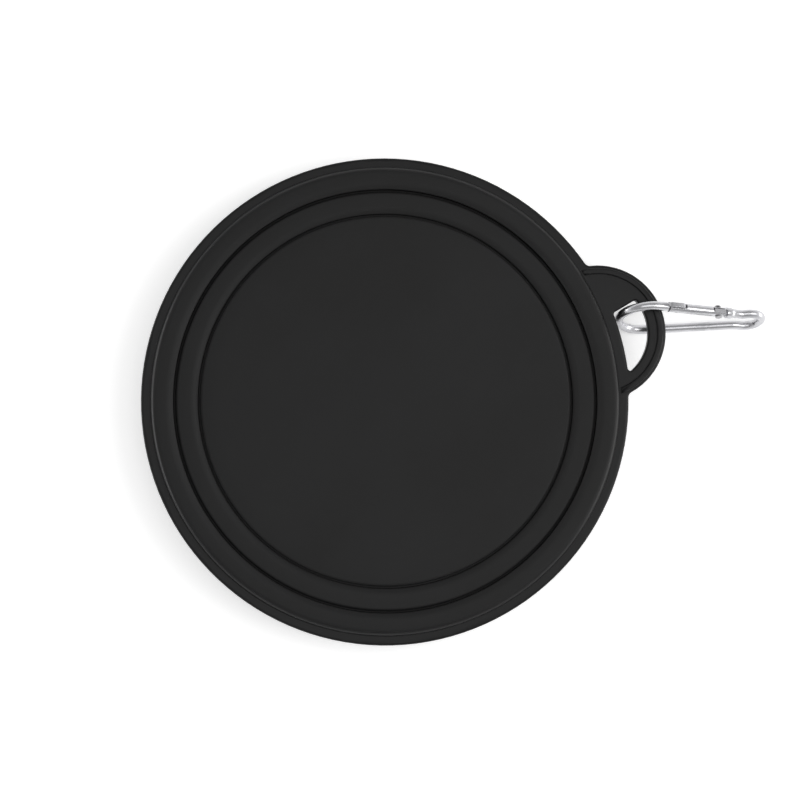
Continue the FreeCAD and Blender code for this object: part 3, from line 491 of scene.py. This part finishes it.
# %% Helper: the foot
FOOT_WIDTH = 2.6
FOOT_ROUND = 0.5
TOE = 1.2
TOE_WIDTH = 1.0
TOE_ROUND = 0.3


def foot_outside(foot):
    """The two corners that the ring stands on."""
    return [(foot, 0.0, FOOT_ROUND), (foot + FOOT_WIDTH, 0.0, FOOT_ROUND)]


def foot_inside(foot):
    """The toe's top, from the wall to its edge."""
    return [(foot + TOE_WIDTH, TOE, TOE_ROUND), (foot, TOE, TOE_ROUND)]


print("foot section in mm:", foot_outside(0.0) + foot_inside(0.0))

# %% [markdown]
# ## Rim and upper wall
#
# The rim is the thickest part: a round bead over the clip ring, a groove that holds the ring,
# a catch lip below it, and the outer cone down to the foot. The large round on the bead's
# outer side is where the low lamps draw the light line of the photograph. That side stands half
# a millimetre further in than in the CAD model, because the line is there in the photograph.

# %% Upper wall
FOLDED_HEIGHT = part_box("upper_wall")[1].z / MM
RIM_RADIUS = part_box("upper_wall")[1].x / MM
RING_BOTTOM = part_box("rim_frame")[0].z / MM
RING_TOP = FOLDED_HEIGHT - 2.0
UPPER_FOOT = RIM_RADIUS - 6.6
SEAT_RADIUS = RIM_RADIUS - 2.7
CATCH_RADIUS = SEAT_RADIUS + 1.6
CATCH_HEIGHT = 0.9
CATCH_ROUND = 0.4
CATCH_TOP_ROUND = 0.2
BEAD_SIDE = RIM_RADIUS - 0.5
BEAD_OUTER_ROUND = 1.9
RIM_LIP_EDGE = 0.9

finished_piece("upper_wall_rubber", turned_ring([
    *foot_outside(UPPER_FOOT),
    (SEAT_RADIUS, RING_BOTTOM - 2 * CATCH_HEIGHT, CATCH_ROUND),
    (CATCH_RADIUS, RING_BOTTOM - CATCH_HEIGHT, CATCH_ROUND),
    (CATCH_RADIUS, RING_BOTTOM, CATCH_TOP_ROUND),
    (SEAT_RADIUS, RING_BOTTOM, 0.0),
    (SEAT_RADIUS, RING_TOP, 0.0),
    (BEAD_SIDE, RING_TOP, 0.0),
    (BEAD_SIDE, FOLDED_HEIGHT, BEAD_OUTER_ROUND),
    *inner_shoulder(UPPER_FOOT, FOLDED_HEIGHT, RIM_LIP_EDGE),
    *foot_inside(UPPER_FOOT),
]), silicone, "rim", "upper_wall")

# %% [markdown]
# ## Lower wall
#
# The second ring nests inside the first. Its crest is what shows from above as the middle ring:
# the same slanted shoulder and lip towards the base, and a tight round towards the rim. The
# upper fold web joins it under its outer edge.

# %% Lower wall
LOWER_FOOT = UPPER_FOOT - 6.5
CREST_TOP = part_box("lower_wall")[1].z / MM
CREST_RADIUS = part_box("lower_wall")[1].x / MM
CREST_BOTTOM = CREST_TOP - 1.4
CREST_SIDE = CREST_RADIUS - 1.0
CREST_ROUND = 0.9
CREST_UNDER_ROUND = 0.2
CREST_LIP_EDGE = 0.4
WEB = 0.7

finished_piece("lower_wall_rubber", turned_ring([
    *foot_outside(LOWER_FOOT),
    (CREST_SIDE, CREST_BOTTOM - WEB, 0.0),
    (CREST_SIDE, CREST_BOTTOM, 0.0),
    (CREST_RADIUS, CREST_BOTTOM, CREST_UNDER_ROUND),
    (CREST_RADIUS, CREST_TOP, CREST_ROUND),
    *inner_shoulder(LOWER_FOOT, CREST_TOP, CREST_LIP_EDGE),
    *foot_inside(LOWER_FOOT),
]), silicone, "lower_ring", "lower_wall")

# %% [markdown]
# ## Base
#
# The base is a flat disc with a moulded edge. It could be a bevelled cylinder, but spun like
# the walls it has its vertices at the same angles as theirs, so the facets of neighbouring
# rings don't cross. Extra rings of vertices keep its faces from being long and thin, and the
# pole is closed by merging the spun points on the axis.

# %% Base
BASE_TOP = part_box("base_disc")[1].z / MM
BASE_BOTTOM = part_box("base_disc")[0].z / MM
BASE_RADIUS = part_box("base_disc")[1].x / MM
BASE_SIDE = BASE_RADIUS - 0.6
BASE_ROUND = 0.9
BASE_UNDER_ROUND = 0.1
BASE_LIP_BOTTOM = BASE_TOP - 1.4
INNER_LOOP = 24.0
OUTER_LOOP = 44.0

finished_piece("base_rubber", turned_ring([
    (0.0, BASE_BOTTOM, 0.0),
    (INNER_LOOP, BASE_BOTTOM, 0.0),
    (BASE_SIDE, BASE_BOTTOM, 0.0),
    (BASE_SIDE, BASE_LIP_BOTTOM, 0.0),
    (BASE_RADIUS, BASE_LIP_BOTTOM, BASE_UNDER_ROUND),
    (BASE_RADIUS, BASE_TOP, BASE_ROUND),
    (OUTER_LOOP, BASE_TOP, 0.0),
    (INNER_LOOP, BASE_TOP, 0.0),
    (0.0, BASE_TOP, 0.0),
]), silicone, "base", "base_disc")

# %% [markdown]
# ## The fold webs
#
# The thin webs turn inside out when the bowl is pulled open, so they belong to two moving rings
# at once. Folded, a web stands on the toe of the outer ring and bends in under the edge of the
# inner one, and that round shoulder is what closes each dark groove. It is cut into rows so
# that it can bend.

# %% Fold webs
WEB_ROWS = 14
WEB_SHOULDER = LIP_REACH - 0.3
WEB_ROUND = 0.4
WEB_UNDER_ROUND = 0.2


def fold_web(name, foot, side, top, node):
    """A web from the toe of the outer ring to under the edge of the inner one."""
    shoulder = foot + WEB_SHOULDER
    bm = turned_ring([
        (foot, TOE, 0.0),
        (foot + WEB, TOE, 0.0),
        (shoulder, top, WEB_ROUND),
        (side, top, 0.0),
        (side, top - WEB, 0.0),
        (shoulder - WEB, top - WEB, WEB_UNDER_ROUND),
    ])
    for row in range(1, WEB_ROWS):
        height = (TOE + (top - WEB - TOE) * row / WEB_ROWS) * MM
        geometry = bm.verts[:] + bm.edges[:] + bm.faces[:]
        bmesh.ops.bisect_plane(bm, geom=geometry, plane_co=(0, 0, height), plane_no=(0, 0, 1))
    piece = finished_piece(name, bm, silicone, None, node)
    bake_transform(piece)


fold_web("upper_fold_rubber", UPPER_FOOT, CREST_SIDE, CREST_BOTTOM,
         "upper_fold_web")
fold_web("lower_fold_rubber", LOWER_FOOT, BASE_SIDE, BASE_LIP_BOTTOM,
         "lower_fold_web")

# %% [markdown]
# ## Ring, tab and carabiner
#
# These hard pieces have their exact shape in the CAD model already. The imported meshes are
# loose triangles, so a copy is merged and shaded smooth up to its real edges, and the copy
# stands in for the node.

# %% Smooth copies of the hard pieces
COPY_MERGE = 0.001 * MM
FLAT_WITHIN = math.radians(0.5)


def smooth_copy(node, name, material, body):
    """A piece with the node's own shape, merged and shaded smooth."""
    bm = bmesh.new()
    bm.from_mesh(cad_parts[node].data)
    bmesh.ops.remove_doubles(bm, verts=bm.verts, dist=COPY_MERGE)
    bmesh.ops.dissolve_limit(bm, angle_limit=FLAT_WITHIN, verts=bm.verts, edges=bm.edges)
    return finished_piece(name, bm, material, body, node)


smooth_copy("rim_frame", "clip_ring", plastic, "rim")
smooth_copy("carabiner_frame", "bent_rod", alloy, "carabiner")
smooth_copy("carabiner_gate", "gate_bar", alloy, "gate")
smooth_copy("gate_rivet", "rivet", steel, "carabiner")
smooth_copy("latch_pin", "cross_pin", steel, "gate")
smooth_copy("spring_plunger", "plunger_head", steel, "plunger")

# %% [markdown]
# The coil spring is held by the gate at the floor of its bore, and its other end follows the
# plunger. Riding on the gate alone, it would run into the plunger when the gate opens, so it
# gets no body here.

# %% Coil spring
coil = smooth_copy("gate_spring", "coil_spring", steel, None)
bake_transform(coil)

# %% [markdown]
# ## Floor
#
# A plain white floor that curves up into a wall far behind the object, as a studio's paper
# does. It is turned round the bowl's axis, so that it looks the same from every side. The
# opened bowl reaches below the table's height, so the floor has a round hole, which the foot of
# the folded bowl covers. To the camera and in reflections the floor glows a little, so that it
# looks white and still keeps the object's soft shadow.

# %% Floor material
FLOOR_WHITE = (0.90, 0.90, 0.90, 1.0)
FLOOR_ROUGHNESS = 0.9
GLOW_WHITE = (1.0, 1.0, 1.0, 1.0)
FLOOR_GLOW = 0.48


def seen_directly(graph):
    """1 for camera, mirror and see-through rays, 0 for rays that carry light."""
    seen = graph.node("ShaderNodeLightPath", out="Is Camera Ray")
    for kind in ("Is Glossy Ray", "Is Transmission Ray"):
        seen = graph.maths("MAXIMUM", seen, graph.node("ShaderNodeLightPath", out=kind))
    return seen


floor_graph = Graph("floor")
floor_material = floor_graph.finish(
    Base_Color=FLOOR_WHITE, Roughness=FLOOR_ROUGHNESS, Specular_IOR_Level=0.0,
    Emission_Color=GLOW_WHITE, Emission_Strength=seen_directly(floor_graph) * FLOOR_GLOW,
)

# %% [markdown]
# The floor's shape is one line of points from the edge of the hole to the top of the wall, as
# (radius, height) in metres, spun like the rings of the bowl.

# %% Floor shape
FLOOR_HOLE = (UPPER_FOOT + FOOT_WIDTH / 2) * MM
FLOOR_PROFILE = [(FLOOR_HOLE, 0.0), (3.0, 0.0), (3.6, 0.10), (3.9, 0.40), (4.0, 0.9), (4.0, 2.0)]
FLOOR_STEPS = 96

floor_bm = bmesh.new()
points = [floor_bm.verts.new((radius, 0.0, height)) for radius, height in FLOOR_PROFILE]
for first, second in zip(points, points[1:]):
    floor_bm.edges.new((first, second))
spin_round(floor_bm, FLOOR_STEPS)
floor = smooth_object("floor", floor_bm, floor_material)

# %% [markdown]
# ## Light
#
# Two low strips, left and right, draw the thin highlights along the polished edge of the rim.
# They are too low to catch the flatter silicone. A box above lights the flat faces, and one
# higher up at the right is there for the carabiner's rods, which lean that way. A dim white
# world fills the shadows. The world alone could light it all, but then nothing would shine.

# %% Lights
BOX_DISTANCE = 0.9
STRIP_SIZE = (0.85, 0.12)
STRIP_ELEVATION = 5
STRIP_WATTS = 2.2
ROD_BOX_SIZE = (0.5, 0.5)
ROD_BOX_ELEVATION = 51
ROD_BOX_WATTS = 2.4
CEILING_BOX_SIZE = (0.6, 0.6)
CEILING_BOX_ELEVATION = 90
CEILING_BOX_WATTS = 1.3
WORLD_STRENGTH = 0.42


def soft_box(name, direction, elevation, size, watts):
    """An area light in this direction, so many degrees up, aimed at the bowl."""
    lamp = bpy.data.lights.new(name, "AREA")
    lamp.shape = "RECTANGLE"
    lamp.size, lamp.size_y = size
    lamp.energy = watts
    rise = math.radians(elevation)
    away = direction.normalized() * math.cos(rise) + Vector((0, 0, math.sin(rise)))
    box = linked(name, lamp)
    box.location = away * BOX_DISTANCE
    box.rotation_mode = "QUATERNION"
    box.rotation_quaternion = away.to_track_quat("Z", "Y")
    print(name, "watts:", watts)


soft_box("left_box", -view_right, STRIP_ELEVATION, STRIP_SIZE, STRIP_WATTS)
soft_box("right_box", view_right, STRIP_ELEVATION, STRIP_SIZE, STRIP_WATTS)
soft_box("rod_box", view_right, ROD_BOX_ELEVATION, ROD_BOX_SIZE, ROD_BOX_WATTS)
soft_box("ceiling_box", view_right, CEILING_BOX_ELEVATION, CEILING_BOX_SIZE, CEILING_BOX_WATTS)

world = bpy.data.worlds.new("studio")
bpy.context.scene.world = world
world.use_nodes = True
background = world.node_tree.nodes["Background"]
background.inputs["Color"].default_value = GLOW_WHITE
background.inputs["Strength"].default_value = WORLD_STRENGTH
bpy.context.scene.view_settings.view_transform = "Standard"
